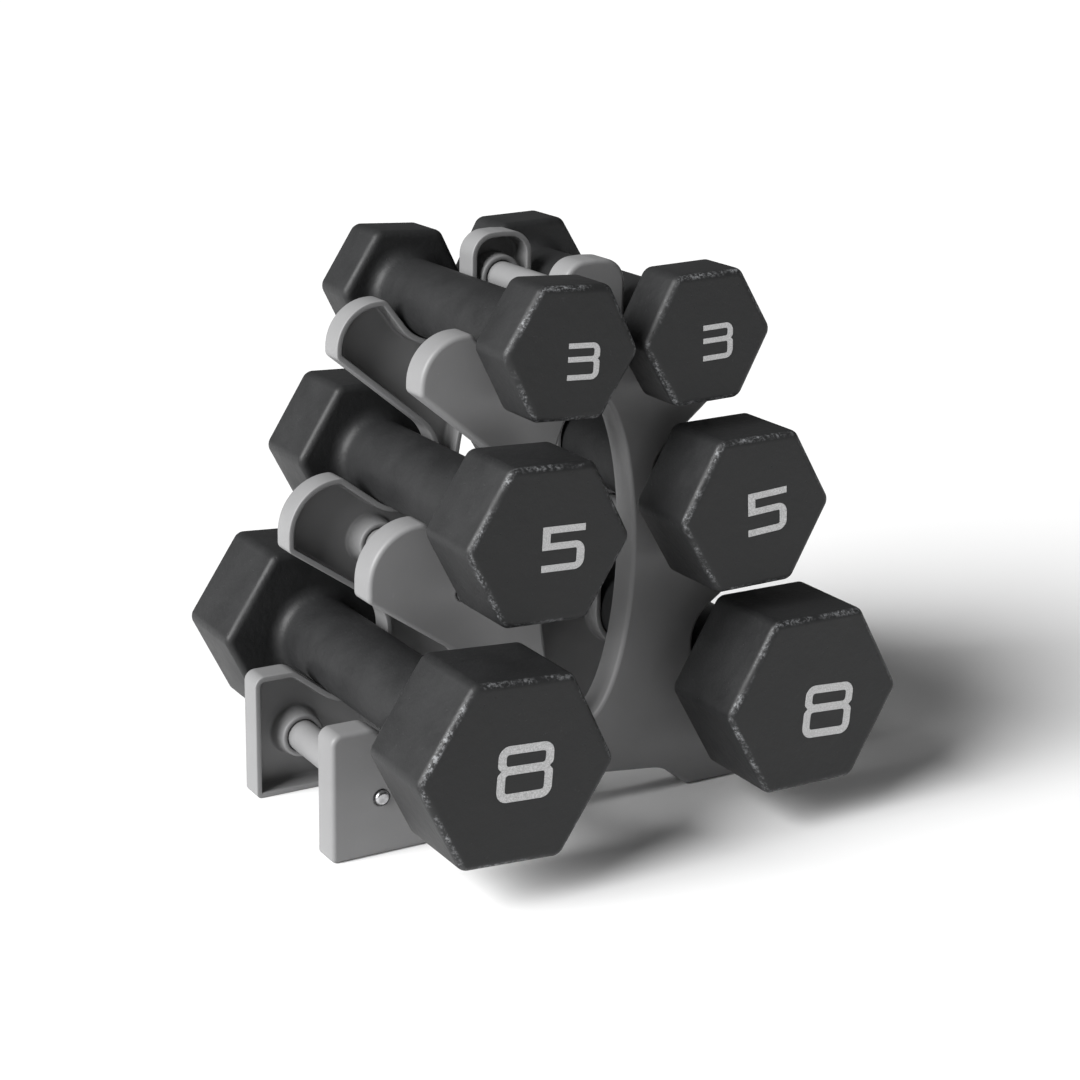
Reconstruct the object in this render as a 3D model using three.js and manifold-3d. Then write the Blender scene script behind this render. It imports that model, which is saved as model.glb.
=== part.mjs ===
// Two-panel dumbbell rack with its set of three pairs of hexagonal dumbbells.
// Millimetres, +Z up, X across the rack, Y from the front panel to the rear panel.
// The origin is on the floor, midway between the feet and midway between the panels.
import * as THREE from 'three';
import { mergeVertices } from 'three/addons/utils/BufferGeometryUtils.js';
import Module from 'manifold-3d';

const wasm = await Module();
wasm.setup();

// ---- Driving dimensions of the rack ----
const FOOT_HALF_WIDTH = 124;      // centre line to the outer edge of a foot
const RACK_DEPTH = 92;            // outer face of one panel to the outer face of the other
const PANEL_DEPTH = 13.5;         // how deep the rim of each panel stands
const WEB = 2.8;                  // face wall of a panel
const RIM_WALL = 2.6;             // rim wall of a panel
const EDGE_ROUND = 2;             // rounding between the face and the rim
const RIM_CORNER = 3.4;           // small outer corners of arms and feet
const FLOOR_CORNER = 2.4;         // corners of the feet on the floor
const TIP_RISE = 29.6;            // top handle axis to the top of the rack
const TIP_CORNER = 11;            // rounding of the upright tip
const TIP_CROWN = 0.8;            // how much the tip's middle stands above its shoulders
const FOOT_TOP_CORNER = 5;        // outer upper corner of a foot
const FOOT_INNER = 65.4;          // outer edge of a foot to its inner edge on the floor
const ARCH_HEIGHT = 16.4;         // floor to the underside of the arch
const ARCH_SHOULDER = 79.4;       // outer edge of a foot to the bend of the arch
const ARCH_SHOULDER_HEIGHT = 11.2;
const ARCH_BEND = 20;             // radius of the bend
const WINDOW_HALF_WIDTH = 23.4;   // oval window on the centre line
const WINDOW_BOTTOM = 42.4;
const WINDOW_TOP = 193.2;
const POCKET_BEND = 20;           // radius where an arm's underside turns down the trunk

// ---- Driving dimensions of the dumbbells ----
const GAP = 0.3;                  // clearance between pieces that touch
const REST_GAP = 0.45;            // handle to the pocket that it rests in
const COAT = 2;                   // neoprene thickness
const FLOOR_GAP = 21.2;           // floor to the lowest hexagon
const HEAD_GAP = 12.4;            // between the hexagons of one tier and the next
const HANDLE_FILLET = 6;          // where a handle runs into its heads
const HEX_CORNER = 5;             // rounding of the six long edges
const FACE_ROUND = 3.4;           // rounding around the end faces
const PIN_HOLE_RADIUS = 2;        // hole that the dipping pin leaves in the coat
const NUMERAL_THICKNESS = 0.5;
const NUMERAL_WAIST = 0.44;       // top of a numeral to its centre bar, as a share of its height
const FULL_TURN = Math.PI * 2;
const SHORTEST_EDGE = 0.05;       // outline points closer than this are one point

// ---- Fineness of the round surfaces ----
const PANEL_CHORD_ERROR = 0.15;   // how far a straight step may stray from its curve
const WINDOW_POINTS = 26;
const EDGE_STEPS = 1;
const ROUND_SIDES = 14;
const SCREW_SIDES = 10;
const SKIN_DETAIL = { chordError: 0.2, faceSteps: 1, sides: 16 };
const CORE_DETAIL = { chordError: 1, faceSteps: 1, sides: 12 };
const NUMERAL_CHORD_ERROR = 0.3;

// One entry for each tier, from the floor up. hexRadius is centre to corner. sidePlay is the free
// space between a panel and a head. rampAngle is the slope of the lip that a handle rolls over.
// A numeral is printed off centre: mark is its middle, right of and above the middle of the face.
const TIERS = [
  {
    weight: 8, hexRadius: 46, headLength: 45.4, handleRadius: 18.5, sidePlay: 25.8,
    pocketClear: 0.6, rampAngle: 38, shoulder: 9, shift: { left: -4, right: 4 },
    roll: { left: 3.4, right: 0 }, mark: { left: [2.7, 0.4], right: [7, -4.9] },
    numeral: { width: 25.8, height: 24.2, bar: 3.7, post: 3.7, bend: 5, notch: 1.7 },
  },
  {
    weight: 5, hexRadius: 38.8, headLength: 38.1, handleRadius: 17.5, sidePlay: 13,
    pocketClear: 0.7, rampAngle: 36.5, shoulder: 6, shift: { left: -2.7, right: -2 },
    roll: { left: 2, right: 1.2 }, mark: { left: [5.9, -1.4], right: [4.8, -0.2] },
    numeral: { width: 20, height: 19, bar: 2.9, post: 3.6, bend: 4.4, notch: 0 },
  },
  {
    weight: 3, hexRadius: 32.3, headLength: 26.7, handleRadius: 16.2, sidePlay: 12.7,
    pocketClear: 2.3, rampAngle: 52, shoulder: 4, shift: { left: 0.5, right: 2.3 },
    roll: { left: 2.7, right: 2.2 }, mark: { left: [5.1, -3.1], right: [4.1, -1.9] },
    numeral: { width: 14.9, height: 15.2, bar: 2.2, post: 2.6, bend: 3.6, notch: 1 },
  },
];
const HANDLE_X = [FOOT_HALF_WIDTH - 47, 51.5, 33.9];

// Arms of the middle and top tiers: reach is handle axis to arm end, drop is lip top to the arm
// end's lower corner, lipBelow is handle axis to lip top, bend is the long curve of the arm end.
const FOOT_LIP_BELOW = 2.6;
const MIDDLE_ARM = { reach: 55.1, drop: 31, lipBelow: 1.2, bend: 26, undersideAngle: 34.5 };
const TOP_ARM = { reach: 48.6, drop: 24, lipBelow: -3, bend: 21, undersideAngle: 39 };

// ---- Driving dimensions of the spacers and screws ----
const TUBE_RADIUS = 7.3;
const TUBE_CHAMFER = 0.6;
const TUBE_CLEAR = 0.35;
const BOSS_WALL = 2.9;            // tube to the outside of a boss at its mouth
const BOSS_FLARE = 1.4;           // how much wider a boss is at its base
const BOSS_EDGE = 0.8;            // outer edge of a boss's mouth
const BOSS_MOUTH = 1.5;           // funnel that guides a tube in
const SCREW_RADIUS = 1.7;
const SCREW_LENGTH = 16;
const SCREW_HOLE_CLEAR = 0.4;
const SCREW_HEAD_RADIUS = 3.3;
const SCREW_HEAD_HEIGHT = 2.2;
const SCREW_SINK = 1;             // depth of the recess under each screw head
const SCREW_SINK_CLEAR = 0.7;
const CROSS_WIDTH = 0.9;
const CROSS_LENGTH = 3.6;
const CROSS_DEPTH = 1.2;
const TOP_SPACER_DROP = 21;       // top of the rack to the top spacer
const MIDDLE_SPACER_OUT = 10;     // middle handle axis to the middle spacer, outwards
const MIDDLE_SPACER_DROP = 34.6;
const FOOT_SPACER_IN = 23.4;      // outer edge of a foot to its spacer
const FOOT_SPACER_HEIGHT = 26.5;

// ---- Positions worked out from the driving dimensions ----
const flatHalf = (radius) => radius * Math.cos(Math.PI / 6);
const HANDLE_Z = [];
TIERS.forEach((tier, level) => {
  const headBelow = level === 0 ? 0 : HANDLE_Z[level - 1] + flatHalf(TIERS[level - 1].hexRadius);
  const space = level === 0 ? FLOOR_GAP : HEAD_GAP;
  HANDLE_Z.push(headBelow + space + flatHalf(tier.hexRadius));
});
const RACK_TOP = HANDLE_Z[2] + TIP_RISE;
const SPACERS = [
  { name: 'top', x: 0, z: RACK_TOP - TOP_SPACER_DROP },
  { name: 'middle_left', x: -HANDLE_X[1] - MIDDLE_SPACER_OUT, z: HANDLE_Z[1] - MIDDLE_SPACER_DROP },
  { name: 'middle_right', x: HANDLE_X[1] + MIDDLE_SPACER_OUT, z: HANDLE_Z[1] - MIDDLE_SPACER_DROP },
  { name: 'foot_left', x: -FOOT_HALF_WIDTH + FOOT_SPACER_IN, z: FOOT_SPACER_HEIGHT },
  { name: 'foot_right', x: FOOT_HALF_WIDTH - FOOT_SPACER_IN, z: FOOT_SPACER_HEIGHT },
];

// ---- Finishes ----
function finish(color, roughness, metalness) {
  return new THREE.MeshStandardMaterial({ color, roughness, metalness });
}

const greyPlastic = () => finish(0x8d8f91, 0.5, 0);
const palePlastic = () => finish(0xa3a5a7, 0.45, 0);
const zinc = () => finish(0xb8babd, 0.35, 1);
const castIron = () => finish(0x3a3a3c, 0.7, 0.6);
const neoprene = () => finish(0x2d2e30, 0.6, 0);
const silverPaint = () => finish(0xc4c6c8, 0.4, 0.3);

// ---- Solids ----
function solid(geometry) {
  const bare = geometry.index ? geometry.toNonIndexed() : geometry.clone();
  bare.deleteAttribute('normal');
  bare.deleteAttribute('uv');
  const merged = mergeVertices(bare, 1e-4);
  return new wasm.Manifold(new wasm.Mesh({
    numProp: 3,
    vertProperties: new Float32Array(merged.attributes.position.array),
    triVerts: new Uint32Array(merged.index.array),
  }));
}

function joined(solids) {
  return solids.reduce((whole, next) => whole.add(next));
}

function cut(body, solids) {
  return solids.reduce((rest, next) => rest.subtract(next), body);
}

function meshOf(name, body, material) {
  const { vertProperties, triVerts } = body.getMesh();
  const geometry = new THREE.BufferGeometry();
  geometry.setAttribute('position', new THREE.BufferAttribute(vertProperties, 3));
  geometry.setIndex(new THREE.BufferAttribute(triVerts, 1));
  geometry.computeVertexNormals();
  const mesh = new THREE.Mesh(geometry, material);
  mesh.name = name;
  return mesh;
}

// A solid of revolution about Y from a closed profile of [radius, y] pairs.
function turned(profile, segments) {
  const points = profile.map(([radius, y]) => new THREE.Vector2(radius, y));
  points.push(points[0].clone());
  return solid(new THREE.LatheGeometry(points, segments));
}

// ---- Outlines with rounded corners ----
// Corners run clockwise around a closed outline, each { x, y, r }.
function edgeAfter(corners, index) {
  const from = corners[index];
  const to = corners[(index + 1) % corners.length];
  const length = Math.hypot(to.x - from.x, to.y - from.y);
  return { x: (to.x - from.x) / length, y: (to.y - from.y) / length, length };
}

function inset(corners, distance) {
  return corners.map((corner, index) => {
    const before = edgeAfter(corners, (index + corners.length - 1) % corners.length);
    const after = edgeAfter(corners, index);
    const turn = before.x * after.y - before.y * after.x;
    const along = 1 + before.x * after.x + before.y * after.y;
    const inwardX = before.y + after.y;
    const inwardY = -before.x - after.x;
    const radius = turn < 0 ? Math.max(corner.r - distance, 0.4) : corner.r + distance;
    return { x: corner.x + inwardX * distance / along, y: corner.y + inwardY * distance / along, r: radius };
  });
}

function roundedShape(corners, chordError) {
  const count = corners.length;
  const turns = corners.map((corner, index) => {
    const before = edgeAfter(corners, (index + count - 1) % count);
    const after = edgeAfter(corners, index);
    const sine = before.x * after.y - before.y * after.x;
    const angle = Math.atan2(sine, before.x * after.x + before.y * after.y);
    return { before, after, angle, trim: corner.r * Math.abs(Math.tan(angle / 2)) };
  });
  const points = [];
  corners.forEach((corner, index) => {
    const turn = turns[index];
    const previous = turns[(index + count - 1) % count];
    const next = turns[(index + 1) % count];
    const room = Math.min(
      1,
      turn.before.length / (turn.trim + previous.trim),
      turn.after.length / (turn.trim + next.trim),
    );
    const trim = turn.trim * room * 0.999;
    const radius = trim / Math.abs(Math.tan(turn.angle / 2));
    const side = Math.sign(turn.angle);
    const startX = corner.x - turn.before.x * trim;
    const startY = corner.y - turn.before.y * trim;
    const centreX = startX - turn.before.y * radius * side;
    const centreY = startY + turn.before.x * radius * side;
    const stepAngle = 2 * Math.acos(Math.max(0, 1 - chordError / Math.max(radius, chordError)));
    const steps = Math.max(1, Math.ceil(Math.abs(turn.angle) / stepAngle - 0.2));
    for (let step = 0; step <= steps; step += 1) {
      const angle = turn.angle * step / steps;
      const offsetX = startX - centreX;
      const offsetY = startY - centreY;
      const point = new THREE.Vector2(
        centreX + offsetX * Math.cos(angle) - offsetY * Math.sin(angle),
        centreY + offsetX * Math.sin(angle) + offsetY * Math.cos(angle),
      );
      const last = points[points.length - 1];
      if (!last || last.distanceTo(point) > SHORTEST_EDGE) points.push(point);
    }
  });
  return new THREE.Shape(points.reverse());
}

// ---- Panel ----
// Where the line that climbs at `angle` a set distance under a handle axis crosses a height or an x.
function rampZ(level, x) {
  const slope = THREE.MathUtils.degToRad(TIERS[level].rampAngle);
  const reach = pocketRadius(level);
  return pocketZ(level) + (x - HANDLE_X[level]) * Math.tan(slope) - reach / Math.cos(slope);
}

function rampX(level, z) {
  const slope = THREE.MathUtils.degToRad(TIERS[level].rampAngle);
  return HANDLE_X[level] + (z - rampZ(level, HANDLE_X[level])) / Math.tan(slope);
}

function pocketRadius(level) {
  return TIERS[level].handleRadius + TIERS[level].pocketClear;
}

function pocketZ(level) {
  return HANDLE_Z[level] + TIERS[level].pocketClear - REST_GAP;
}

function pocketCorner(level) {
  const x = HANDLE_X[level] - pocketRadius(level);
  return { x, y: rampZ(level, x), r: pocketRadius(level) };
}

function armCorners(level, arm) {
  const lipZ = HANDLE_Z[level] - arm.lipBelow;
  const endX = HANDLE_X[level] + arm.reach;
  const endZ = lipZ - arm.drop;
  const trunkX = HANDLE_X[level - 1] - pocketRadius(level - 1);
  const slope = Math.tan(THREE.MathUtils.degToRad(arm.undersideAngle));
  return [
    { x: rampX(level, lipZ), y: lipZ, r: TIERS[level].shoulder },
    { x: endX, y: lipZ, r: arm.bend },
    { x: endX, y: endZ, r: RIM_CORNER },
    { x: trunkX, y: endZ - (endX - trunkX) * slope, r: POCKET_BEND },
  ];
}

function panelCorners() {
  const tipHalf = HANDLE_X[2] - pocketRadius(2);
  const footLipZ = HANDLE_Z[0] - FOOT_LIP_BELOW;
  const right = [
    { x: tipHalf, y: RACK_TOP - TIP_CROWN, r: TIP_CORNER },
    pocketCorner(2),
    ...armCorners(2, TOP_ARM),
    pocketCorner(1),
    ...armCorners(1, MIDDLE_ARM),
    pocketCorner(0),
    { x: rampX(0, footLipZ), y: footLipZ, r: TIERS[0].shoulder },
    { x: FOOT_HALF_WIDTH, y: footLipZ, r: FOOT_TOP_CORNER },
    { x: FOOT_HALF_WIDTH, y: 0, r: FLOOR_CORNER },
    { x: FOOT_HALF_WIDTH - FOOT_INNER, y: 0, r: FLOOR_CORNER },
    { x: FOOT_HALF_WIDTH - ARCH_SHOULDER, y: ARCH_SHOULDER_HEIGHT, r: ARCH_BEND },
  ];
  const left = right.map(({ x, y, r }) => ({ x: -x, y, r })).reverse();
  const crown = { x: 0, y: RACK_TOP, r: RIM_CORNER };
  const keystone = { x: 0, y: ARCH_HEIGHT, r: ARCH_BEND };
  return [crown, ...right, keystone, ...left];
}

function windowPath(grow) {
  const middle = (WINDOW_TOP + WINDOW_BOTTOM) / 2;
  const halfHeight = (WINDOW_TOP - WINDOW_BOTTOM) / 2;
  const oval = new THREE.EllipseCurve(0, middle, WINDOW_HALF_WIDTH + grow, halfHeight + grow, 0, FULL_TURN);
  return new THREE.Path(oval.getPoints(WINDOW_POINTS).slice(0, -1));
}

// The panel is made lying down: x across, y up the rack, z from its outer face into the rack.
function bossSolid(spacer) {
  const root = WEB / 2;
  const top = TUBE_RADIUS + BOSS_WALL;
  const base = top + BOSS_FLARE;
  const profile = [
    [0, root],
    [base, root],
    [base, WEB + BOSS_FLARE],
    [top, PANEL_DEPTH - BOSS_EDGE],
    [top - BOSS_EDGE, PANEL_DEPTH],
    [0, PANEL_DEPTH],
  ];
  return turned(profile, ROUND_SIDES).rotate([90, 0, 0]).translate([spacer.x, spacer.z, 0]);
}

function boreSolid(spacer) {
  const seat = TUBE_RADIUS + TUBE_CLEAR;
  const hole = SCREW_RADIUS + SCREW_HOLE_CLEAR;
  const sink = SCREW_HEAD_RADIUS + SCREW_SINK_CLEAR;
  const profile = [
    [0, -1],
    [sink, -1],
    [sink, SCREW_SINK],
    [hole, SCREW_SINK],
    [hole, WEB],
    [seat, WEB],
    [seat, PANEL_DEPTH - BOSS_MOUTH],
    [seat + BOSS_MOUTH, PANEL_DEPTH],
    [seat + BOSS_MOUTH, PANEL_DEPTH + 1],
    [0, PANEL_DEPTH + 1],
  ];
  return turned(profile, ROUND_SIDES).rotate([90, 0, 0]).translate([spacer.x, spacer.z, 0]);
}

function panelSolid() {
  const corners = panelCorners();
  const outside = roundedShape(corners, PANEL_CHORD_ERROR);
  outside.holes.push(windowPath(0));
  const block = new THREE.ExtrudeGeometry(outside, {
    depth: PANEL_DEPTH, bevelThickness: EDGE_ROUND, bevelSize: EDGE_ROUND, bevelOffset: -EDGE_ROUND,
    bevelSegments: EDGE_STEPS, curveSegments: 1, steps: 1,
  });
  block.translate(0, 0, EDGE_ROUND);
  const surplus = new THREE.BoxGeometry(4 * FOOT_HALF_WIDTH, 4 * RACK_TOP, 4 * EDGE_ROUND);
  surplus.translate(0, 0, PANEL_DEPTH + 2 * EDGE_ROUND);
  const inside = roundedShape(inset(corners, RIM_WALL), PANEL_CHORD_ERROR);
  inside.holes.push(windowPath(RIM_WALL));
  const hollow = new THREE.ExtrudeGeometry(inside, {
    depth: PANEL_DEPTH, bevelEnabled: false, curveSegments: 1,
  });
  hollow.translate(0, 0, WEB);
  const shell = cut(solid(block), [solid(surplus), solid(hollow)]);
  return cut(joined([shell, ...SPACERS.map(bossSolid)]), SPACERS.map(boreSolid));
}

function stoodUp(mesh, halfTurn) {
  const stand = new THREE.Group();
  mesh.rotation.x = Math.PI / 2;
  mesh.position.y = RACK_DEPTH / 2;
  stand.rotation.z = halfTurn ? Math.PI : 0;
  stand.add(mesh);
  return stand;
}

// ---- Spacers and screws ----
function tubeSolid() {
  const end = RACK_DEPTH / 2 - WEB - GAP;
  const pilot = SCREW_RADIUS + GAP;
  return turned([
    [pilot, -end],
    [TUBE_RADIUS - TUBE_CHAMFER, -end],
    [TUBE_RADIUS, -end + TUBE_CHAMFER],
    [TUBE_RADIUS, end - TUBE_CHAMFER],
    [TUBE_RADIUS - TUBE_CHAMFER, end],
    [pilot, end],
  ], ROUND_SIDES);
}

function screwSolid() {
  const seat = -RACK_DEPTH / 2 + SCREW_SINK - GAP;
  const crown = seat - SCREW_HEAD_HEIGHT;
  const body = turned([
    [0, crown],
    [SCREW_HEAD_RADIUS * 0.6, crown + 0.1],
    [SCREW_HEAD_RADIUS * 0.92, crown + 0.7],
    [SCREW_HEAD_RADIUS, seat - 0.5],
    [SCREW_HEAD_RADIUS, seat],
    [SCREW_RADIUS, seat],
    [SCREW_RADIUS, seat + SCREW_LENGTH - 2],
    [0, seat + SCREW_LENGTH],
  ], SCREW_SIDES);
  const upright = new THREE.BoxGeometry(CROSS_WIDTH, 2 * CROSS_DEPTH, CROSS_LENGTH);
  const level = new THREE.BoxGeometry(CROSS_LENGTH, 2 * CROSS_DEPTH, CROSS_WIDTH);
  upright.translate(0, crown, 0);
  level.translate(0, crown, 0);
  return cut(body, [joined([solid(upright), solid(level)])]);
}

function screwMesh(spacer, end) {
  const screw = meshOf(`screw_${end}_${spacer.name}`, screwSolid(), zinc());
  screw.rotation.z = end === 'rear' ? Math.PI : 0;
  screw.position.set(spacer.x, 0, spacer.z);
  return screw;
}

// ---- Dumbbells ----
// A dumbbell lies along Y about its own middle, with two hexagon corners pointing along X.
function hexSolid(radius, corner, length, round, middleY, detail) {
  const corners = [];
  for (let side = 0; side < 6; side += 1) {
    const angle = -side * Math.PI / 3;
    corners.push({ x: radius * Math.cos(angle), y: radius * Math.sin(angle), r: corner });
  }
  const outline = roundedShape(corners, detail.chordError);
  const block = new THREE.ExtrudeGeometry(outline, {
    depth: length - 2 * round, bevelEnabled: round > 0, bevelThickness: round, bevelSize: round,
    bevelOffset: -round, bevelSegments: detail.faceSteps, curveSegments: 1,
  });
  block.translate(0, 0, round - length / 2);
  block.rotateX(Math.PI / 2);
  block.translate(0, middleY, 0);
  return solid(block);
}

function headSpacing(tier) {
  return RACK_DEPTH + 2 * tier.sidePlay;
}

// The whole dumbbell's form, shrunk by `skin` on every side.
function dumbbellForm(tier, skin, detail) {
  const spacing = headSpacing(tier);
  const headMiddle = (spacing + tier.headLength) / 2;
  const radius = tier.hexRadius - skin / Math.cos(Math.PI / 6);
  const corner = Math.max(HEX_CORNER - skin, 0.5);
  const round = Math.max(FACE_ROUND - skin, 0);
  const length = tier.headLength - 2 * skin;
  const handle = tier.handleRadius - skin;
  const fillet = HANDLE_FILLET;
  const face = spacing / 2 + skin;
  const bend = fillet * (1 - Math.SQRT1_2);
  const grip = turned([
    [0, -face - 1],
    [handle + fillet, -face - 1],
    [handle + fillet, -face],
    [handle + bend, -face + bend],
    [handle, -face + fillet],
    [handle, face - fillet],
    [handle + bend, face - bend],
    [handle + fillet, face],
    [handle + fillet, face + 1],
    [0, face + 1],
  ], detail.sides);
  return joined([
    hexSolid(radius, corner, length, round, -headMiddle, detail),
    hexSolid(radius, corner, length, round, headMiddle, detail),
    grip,
  ]);
}

function pinHole(tier) {
  const endY = headSpacing(tier) / 2 + tier.headLength;
  const hole = new THREE.CylinderGeometry(PIN_HOLE_RADIUS, PIN_HOLE_RADIUS, 3 * COAT, 12);
  hole.translate(0, endY, flatHalf(tier.hexRadius) - FACE_ROUND - 3 * PIN_HOLE_RADIUS);
  return solid(hole);
}

// Squared numerals, drawn about their middle. Level strokes are one bar thick, upright ones one post.
function numeralShape(weight, { width, height, bar, post, bend, notch }) {
  const right = width / 2;
  const left = -right;
  const top = height / 2;
  const bottom = -top;
  const waist = top - height * NUMERAL_WAIST;
  const upper = waist + bar / 2;
  const lower = waist - bar / 2;
  const inner = bend - post;
  const square = (x, y) => ({ x, y, r: SHORTEST_EDGE });
  const round = (x, y, r) => ({ x, y, r });
  const window = (low, high) => roundedShape([
    round(left + post, high, inner), round(right - post, high, inner),
    round(right - post, low, inner), round(left + post, low, inner),
  ], NUMERAL_CHORD_ERROR);
  const outerEdge = [
    round(right, top, bend), round(right, waist + notch, bar / 2), square(right - notch, waist),
    round(right, waist - notch, bar / 2), round(right, bottom, bend),
  ];
  const outlines = {
    3: [
      square(left, top), ...outerEdge, square(left, bottom), square(left, bottom + bar),
      round(right - post, bottom + bar, inner), round(right - post, lower, inner),
      square(left, lower), square(left, upper), round(right - post, upper, inner),
      round(right - post, top - bar, inner), square(left, top - bar),
    ],
    5: [
      square(left, top), square(right, top), square(right, top - bar), square(left + post, top - bar),
      square(left + post, upper), round(right, upper, bend), round(right, bottom, bend),
      square(left, bottom), square(left, bottom + bar), round(right - post, bottom + bar, inner),
      round(right - post, lower, inner), square(left, lower),
    ],
    8: [...outerEdge, ...outerEdge.map(({ x, y, r }) => ({ x: -x, y, r })).reverse()],
  };
  const shape = roundedShape(outlines[weight], NUMERAL_CHORD_ERROR);
  if (weight === 8) shape.holes.push(window(upper, top - bar), window(bottom + bar, lower));
  return shape;
}

function numeralSolid(tier, [right, up]) {
  const plate = new THREE.ExtrudeGeometry(numeralShape(tier.weight, tier.numeral), {
    depth: NUMERAL_THICKNESS, bevelEnabled: false, curveSegments: 1,
  });
  plate.rotateX(Math.PI / 2);
  plate.translate(right, -headSpacing(tier) / 2 - tier.headLength - GAP, up);
  return solid(plate);
}

function dumbbellGroup(tier, level, side) {
  const name = `${tier.weight}lb_${side}`;
  const group = new THREE.Group();
  const core = dumbbellForm(tier, COAT + GAP, CORE_DETAIL);
  const cavity = dumbbellForm(tier, COAT, CORE_DETAIL);
  const skin = cut(dumbbellForm(tier, 0, SKIN_DETAIL), [cavity, pinHole(tier)]);
  const numeral = numeralSolid(tier, tier.mark[side]);
  const frontNumeral = meshOf(`numeral_front_${name}`, numeral, silverPaint());
  const rearNumeral = meshOf(`numeral_rear_${name}`, numeral, silverPaint());
  rearNumeral.rotation.z = Math.PI;
  group.add(meshOf(`iron_core_${name}`, core, castIron()));
  group.add(meshOf(`neoprene_coat_${name}`, skin, neoprene()));
  group.add(frontNumeral, rearNumeral);
  const outwards = side === 'left' ? -1 : 1;
  group.position.set(outwards * HANDLE_X[level], tier.shift[side], HANDLE_Z[level]);
  group.rotation.y = -outwards * THREE.MathUtils.degToRad(tier.roll[side]);
  return group;
}

// ---- Assembly ----
const rack = new THREE.Group();
rack.add(stoodUp(meshOf('front_panel', panelSolid(), greyPlastic()), true));
rack.add(stoodUp(meshOf('rear_panel', panelSolid(), greyPlastic()), false));
SPACERS.forEach((spacer) => {
  const tube = meshOf(`spacer_${spacer.name}`, tubeSolid(), palePlastic());
  tube.position.set(spacer.x, 0, spacer.z);
  rack.add(tube, screwMesh(spacer, 'front'), screwMesh(spacer, 'rear'));
});
TIERS.forEach((tier, level) => {
  ['left', 'right'].forEach((side) => rack.add(dumbbellGroup(tier, level, side)));
});

export default rack;
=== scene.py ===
import math

import bmesh
import bpy
from bpy.props import FloatProperty, FloatVectorProperty, IntProperty, PointerProperty
from mathutils import Matrix, Vector


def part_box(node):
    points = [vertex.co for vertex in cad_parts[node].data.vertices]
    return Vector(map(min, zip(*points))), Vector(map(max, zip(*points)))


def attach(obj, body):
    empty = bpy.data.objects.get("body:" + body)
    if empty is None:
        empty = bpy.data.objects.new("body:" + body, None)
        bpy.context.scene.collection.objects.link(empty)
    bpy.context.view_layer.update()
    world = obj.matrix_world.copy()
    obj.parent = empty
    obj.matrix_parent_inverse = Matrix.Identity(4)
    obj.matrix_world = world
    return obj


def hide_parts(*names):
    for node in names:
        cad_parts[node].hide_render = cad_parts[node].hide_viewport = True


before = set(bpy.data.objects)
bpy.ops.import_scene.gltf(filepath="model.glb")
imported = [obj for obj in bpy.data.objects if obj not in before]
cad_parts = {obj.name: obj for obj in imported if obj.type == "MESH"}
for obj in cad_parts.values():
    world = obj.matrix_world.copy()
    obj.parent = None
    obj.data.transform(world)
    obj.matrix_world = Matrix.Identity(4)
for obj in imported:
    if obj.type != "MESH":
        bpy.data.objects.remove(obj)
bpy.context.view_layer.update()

bl_info = {
    "name": "Dumbbell rack",
    "version": (1, 0, 0),
    "blender": (4, 5, 0),
    "location": "View3D > Sidebar > Dumbbell rack",
    "description": "Two-panel rack with three pairs of coated hexagonal dumbbells",
    "category": "Object",
}

MM = 0.001
FULL_TURN = 2 * math.pi

# ---- Places, read from the frame, in millimetres ----
SIDES = {"left": -1, "right": 1}
SPACER_NAMES = ("top", "middle_left", "middle_right", "foot_left", "foot_right")


def middle_of(node):
    low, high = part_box(node)
    return (low + high) / 2 / MM


PANEL_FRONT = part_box("front_panel")[0] / MM
PANEL_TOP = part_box("front_panel")[1] / MM
HALF_DEPTH = -PANEL_FRONT.y
FOOT_HALF_WIDTH = PANEL_TOP.x
RACK_TOP = PANEL_TOP.z
PANEL_DEPTH = (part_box("front_panel")[1].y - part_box("front_panel")[0].y) / MM
SPACERS = {name: middle_of(f"spacer_{name}") for name in SPACER_NAMES}
TUBE_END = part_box("spacer_top")[1].y / MM

# ---- Shapes that the boxes don't tell, in millimetres ----
RIM_CORNER = 3.4
FLOOR_CORNER = 2.4
TIP_CORNER = 11
TIP_CROWN = 0.8
FOOT_TOP_CORNER = 5
FOOT_INNER = 65.4
ARCH_HEIGHT = 16.4
ARCH_SHOULDER = 79.4
ARCH_SHOULDER_HEIGHT = 11.2
ARCH_BEND = 20
WINDOW_HALF_WIDTH = 23.4
WINDOW_BOTTOM = 42.4
WINDOW_TOP = 193.2
WINDOW_SEGMENTS = 96
POCKET_BEND = 20
REST_GAP = 0.45
FLAT_MARGIN = 0.08
SHARP_CORNER = 0.05
FOOT_LIP_BELOW = 2.6
MIDDLE_ARM = {"reach": 55.1, "drop": 31, "lip_below": 1.2, "bend": 26, "underside": 34.5}
TOP_ARM = {"reach": 48.6, "drop": 24, "lip_below": -3, "bend": 21, "underside": 39}
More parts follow.
